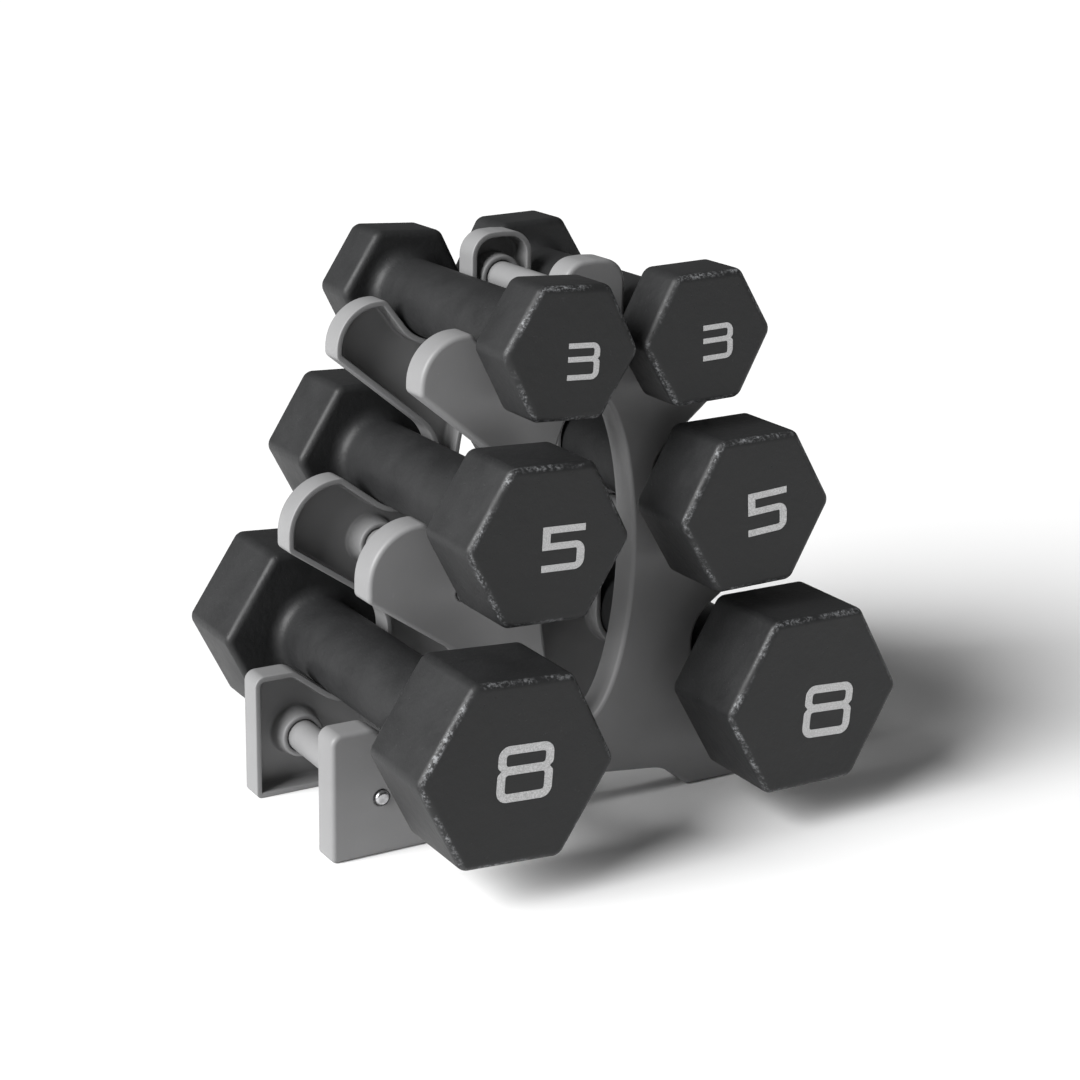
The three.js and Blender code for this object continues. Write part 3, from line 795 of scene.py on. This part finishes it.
def coat_skin(bm, tier, sizes, skin, segments):
    """The dumbbell's surface a set depth under the coat's outside, open at its end faces."""
    inner = head_inner(tier) + skin
    outer = head_inner(tier) + tier["head_length"] - skin
    radius = tier["hex_radius"] - skin / math.cos(HALF_SIDE)
    place = (
        Matrix.Translation((0, inner, 0)) @ Matrix.Rotation(math.pi / 2, 4, "X")
        @ Matrix.Rotation(math.pi / 2, 4, "Z"))
    circle = bmesh.ops.create_circle(bm, cap_ends=True, segments=6, radius=radius, matrix=place)
    cap = list(circle["verts"][0].link_faces)
    drawn = bmesh.ops.extrude_face_region(bm, geom=cap)["geom"]
    far = [part for part in drawn if isinstance(part, bmesh.types.BMVert)]
    bmesh.ops.translate(bm, vec=(0, outer - inner, 0), verts=far)
    bmesh.ops.bevel(
        bm, geom=[e for e in bm.edges if abs(e.verts[0].co.y - e.verts[1].co.y) > 1],
        offset=(sizes.corner - skin) * math.tan(HALF_SIDE), offset_type="OFFSET",
        segments=6, profile=0.5, affect="EDGES", clamp_overlap=True, material=-1)
    bmesh.ops.bevel(
        bm,
        geom=[e for e in bm.edges if abs(e.verts[0].co.y - e.verts[1].co.y) < SAME_PLANE],
        offset=sizes.face_round - skin, offset_type="OFFSET", segments=7, profile=0.5,
        affect="EDGES", clamp_overlap=True, material=-1)
    caps = [face for face in bm.faces if abs(face.normal.y) > FACES_END]
    bmesh.ops.inset_region(bm, faces=caps, thickness=END_FACE_MARGIN, use_even_offset=True)
    bmesh.ops.delete(bm, geom=[face for face in caps if face.is_valid], context="FACES_ONLY")
    handle, fillet = tier["handle_radius"] - skin, sizes.fillet + skin
    turned(bm, [
        (handle + fillet + 0.6, inner),
        *bend((handle + fillet, inner - fillet), fillet, 90, 180, 8),
        (handle, inner - fillet - 0.8),
        *[(handle, inner * share) for share in (0.6, 0.3, 0)]], (0, 0), segments)
    both = bmesh.ops.duplicate(bm, geom=[*bm.verts, *bm.edges, *bm.faces])["geom"]
    front = [part for part in both if isinstance(part, bmesh.types.BMVert)]
    bmesh.ops.scale(bm, vec=(1, -1, 1), verts=front)
    return inner, outer


def coat_mesh(tier, sizes):
    """The whole coat about its own middle, along Y, two corners of its hexagons along X."""
    whole = bmesh.new()
    planes = []
    for skin, segments in ((0, sizes.segments), (sizes.coat, sizes.segments // 2)):
        bm = bmesh.new()
        planes += coat_skin(bm, tier, sizes, skin, segments)
        part = bpy.data.meshes.new("coat_skin")
        bm.to_mesh(part)
        bm.free()
        whole.from_mesh(part)
        bpy.data.meshes.remove(part)
    hole, outer = sizes.pin_hole, planes[1]
    pin_up = tier["hex_radius"] * math.cos(HALF_SIDE) - sizes.face_round - 3 * hole
    turned(whole, [
        (hole, outer - sizes.coat), (hole, outer - 0.4),
        *bend((hole + 0.4, outer - 0.4), 0.4, 180, 90, 3), (hole + 0.9, outer),
    ], (0, pin_up), PIN_SEGMENTS)
    bmesh.ops.remove_doubles(whole, verts=whole.verts, dist=WELD)
    for depth in planes:
        filled(whole, depth)
        filled(whole, -depth)
    return whole


def edge_rub_and_glint(piece, tier, place, sizes):
    """Marks the rounds about the end faces, where the coat is rubbed and where a highlight is
    painted.
    """
    back = (Matrix.Scale(MM, 4) @ place).inverted()
    outer = head_inner(tier) + tier["head_length"]
    flat = tier["hex_radius"] * math.cos(HALF_SIDE)
    wear = piece.data.attributes.new("edge", "FLOAT", "POINT")
    for vert in piece.data.vertices:
        spot = back @ vert.co
        from_end = outer - abs(spot.y)
        reach = max(
            abs(spot.x * math.cos(math.radians(a)) + spot.z * math.sin(math.radians(a)))
            for a in (30, 90, 150))
        wear.data[vert.index].value = max(
            0.0, 1 - max(from_end, flat - reach) / sizes.face_round) / 0.7


def numeral_outlines(weight, size):
    """Outline and windows of a squared numeral about its middle."""
    right, top = size["width"] / 2, size["height"] / 2
    left, bottom = -right, -top
    bar, post, curve, notch = size["bar"], size["post"], size["bend"], size["notch"]
    waist = top - size["height"] * NUMERAL_WAIST
    upper, lower = waist + bar / 2, waist - bar / 2
    inner = curve - post
    sharp = SHARP_CORNER

    def window(low, high):
        return [
            (left + post, high, inner), (right - post, high, inner),
            (right - post, low, inner), (left + post, low, inner)]

    outer_edge = [
        (right, top, curve), (right, waist + notch, bar / 2), (right - notch, waist, sharp),
        (right, waist - notch, bar / 2), (right, bottom, curve)]
    if weight == 8:
        outline = outer_edge + [(-x, y, r) for x, y, r in reversed(outer_edge)]
        return [outline, window(upper, top - bar), window(bottom + bar, lower)]
    if weight == 3:
        return [[
            (left, top, sharp), *outer_edge, (left, bottom, sharp), (left, bottom + bar, sharp),
            (right - post, bottom + bar, inner), (right - post, lower, inner),
            (left, lower, sharp), (left, upper, sharp), (right - post, upper, inner),
            (right - post, top - bar, inner), (left, top - bar, sharp)]]
    return [[
        (left, top, sharp), (right, top, sharp), (right, top - bar, sharp),
        (left + post, top - bar, sharp), (left + post, upper, sharp), (right, upper, curve),
        (right, bottom, curve), (left, bottom, sharp), (left, bottom + bar, sharp),
        (right - post, bottom + bar, inner), (right - post, lower, inner), (left, lower, sharp)]]


def numeral_mesh(tier, side, end_face, relief):
    """A thin printed plate whose front is at y = end_face - relief."""
    bm = bmesh.new()
    for corners in numeral_outlines(tier["weight"], tier["numeral"]):
        steps = [max(3, int(radius * 2)) for _, _, radius in corners]
        loops = [
            rounded_loop(bm, corners, end_face + PRINT_SUNK, steps),
            rounded_loop(bm, corners, end_face - relief, steps)]
        bridged(bm, loops)
    filled(bm, end_face + PRINT_SUNK)
    filled(bm, end_face - relief)
    right, up = tier["mark"][side]
    tilt = Matrix.Rotation(math.radians(tier["tilt"][side]), 4, "Y")
    bmesh.ops.transform(bm, matrix=Matrix.Translation((right, 0, up)) @ tilt, verts=bm.verts)
    return bm


class RACK_OT_dumbbells(bpy.types.Operator):
    """Builds the coats and numerals of the six dumbbells"""
    bl_idname = "rack.dumbbells"
    bl_label = "Dumbbells"

    def execute(self, context):
        sizes = context.scene.dumbbell_sizes
        for tier in TIERS:
            form = coat_mesh(tier, sizes)
            for side, outwards in SIDES.items():
                name = f"{tier['weight']}lb_{side}"
                body = f"dumbbell_{name}"
                roll = -outwards * math.radians(tier["roll"][side])
                place = (
                    Matrix.Translation(middle_of(f"iron_core_{name}"))
                    @ Matrix.Rotation(roll, 4, "Y"))
                coat = finished(
                    form.copy(), f"dipped_coat_{name}", place, body, "neoprene",
                    [f"neoprene_coat_{name}"], COAT_SHARP)
                # Mask of the end-face rounds, which carries the rubbed speckles and the painted
                # edge highlight.
                edge_rub_and_glint(coat, tier, place, sizes)
                end_face = -head_inner(tier) - tier["head_length"]
                for index, end in enumerate(("front", "rear")):
                    turn = Matrix.Rotation(index * math.pi, 4, "Z")
                    finished(
                        numeral_mesh(tier, side, end_face, sizes.print_height),
                        f"printed_numeral_{end}_{name}", place @ turn, body, "numeral_silver",
                        [f"numeral_{end}_{name}"], NUMERAL_SHARP)
        return {"FINISHED"}


class RACK_OT_castings(bpy.types.Operator):
    """Gives the iron cores their finish"""
    bl_idname = "rack.castings"
    bl_label = "Iron cores"

    def execute(self, context):
        for tier in TIERS:
            for side in SIDES:
                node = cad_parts[f"iron_core_{tier['weight']}lb_{side}"]
                node.data.materials.clear()
                node.data.materials.append(material("cast_iron"))
        return {"FINISHED"}


# ---- Stage ----
class RACK_OT_stage(bpy.types.Operator):
    """Sets the floor, the light, the sky and the camera"""
    bl_idname = "rack.stage"
    bl_label = "Stage"

    def execute(self, context):
        scene = context.scene
        floor_mesh = bpy.data.meshes.new("studio_floor")
        bm = bmesh.new()
        bmesh.ops.create_grid(bm, x_segments=1, y_segments=1, size=FLOOR_HALF_SIZE)
        bm.to_mesh(floor_mesh)
        bm.free()
        floor = bpy.data.objects.new("studio_floor", floor_mesh)
        scene.collection.objects.link(floor)
        graph = Graph("studio_paper", 0.0, 0.2)
        paper = graph.noise(0.4, 2.0)
        tone = graph.mix(paper, (0.9, 0.9, 0.9, 1), (0.93, 0.93, 0.93, 1))
        floor_mesh.materials.append(graph.feed(base_color=tone))
        graph.shader.inputs["Roughness"].default_value = 0.8

        world = bpy.data.worlds.new("studio_sky")
        world.use_nodes = True
        sky = world.node_tree.nodes["Background"]
        sky.inputs["Color"].default_value = (1, 1, 1, 1)
        sky.inputs["Strength"].default_value = SKY_STRENGTH
        scene.world = world

        lamp = bpy.data.lights.new("key", "SUN")
        lamp.energy = KEY_STRENGTH
        lamp.angle = KEY_SPREAD
        key = bpy.data.objects.new("key", lamp)
        key.location = KEY_PLACE
        key.rotation_euler = (-Vector(KEY_PLACE)).to_track_quat("-Z", "Y").to_euler()
        scene.collection.objects.link(key)

        camera_data = bpy.data.cameras.new("camera")
        camera_data.lens = CAMERA_LENS
        camera_data.sensor_width = CAMERA_SENSOR
        camera = bpy.data.objects.new("camera", camera_data)
        camera.matrix_world = (
            Matrix.Translation(CAMERA_PLACE)
            @ Matrix.Rotation(CAMERA_YAW, 4, "Z")
            @ Matrix.Rotation(math.pi / 2 - CAMERA_PITCH, 4, "X")
            @ Matrix.Rotation(CAMERA_ROLL, 4, "Z"))
        scene.collection.objects.link(camera)
        scene.camera = camera
        scene.view_settings.view_transform = "Standard"
        return {"FINISHED"}


class RACK_PT_pieces(bpy.types.Panel):
    """Lists the pieces and their sizes"""
    bl_idname = "RACK_PT_pieces"
    bl_label = "Dumbbell rack"
    bl_space_type = "VIEW_3D"
    bl_region_type = "UI"
    bl_category = "Dumbbell rack"

    def draw(self, context):
        for operator in OPERATORS:
            self.layout.operator(operator.bl_idname)
        for group in PROPERTY_GROUPS:
            sizes = getattr(context.scene, group)
            for name in sizes.bl_rna.properties.keys():
                if name not in ("rna_type", "name"):
                    self.layout.prop(sizes, name)


PROPERTY_GROUPS = {
    "rack_sizes": RackSizes, "dumbbell_sizes": DumbbellSizes, "rack_finishes": Finishes}
OPERATORS = (
    RACK_OT_panels, RACK_OT_spacers, RACK_OT_screws, RACK_OT_dumbbells, RACK_OT_castings,
    RACK_OT_stage)
CLASSES = (*PROPERTY_GROUPS.values(), *OPERATORS, RACK_PT_pieces)


def register():
    for cls in CLASSES:
        bpy.utils.register_class(cls)
    for name, group in PROPERTY_GROUPS.items():
        setattr(bpy.types.Scene, name, PointerProperty(type=group))


def unregister():
    for name in PROPERTY_GROUPS:
        delattr(bpy.types.Scene, name)
    for cls in reversed(CLASSES):
        bpy.utils.unregister_class(cls)


def main():
    register()
    bpy.ops.rack.panels()
    bpy.ops.rack.spacers()
    bpy.ops.rack.screws()
    bpy.ops.rack.dumbbells()
    bpy.ops.rack.castings()
    bpy.ops.rack.stage()


if __name__ == "__main__":
    main()
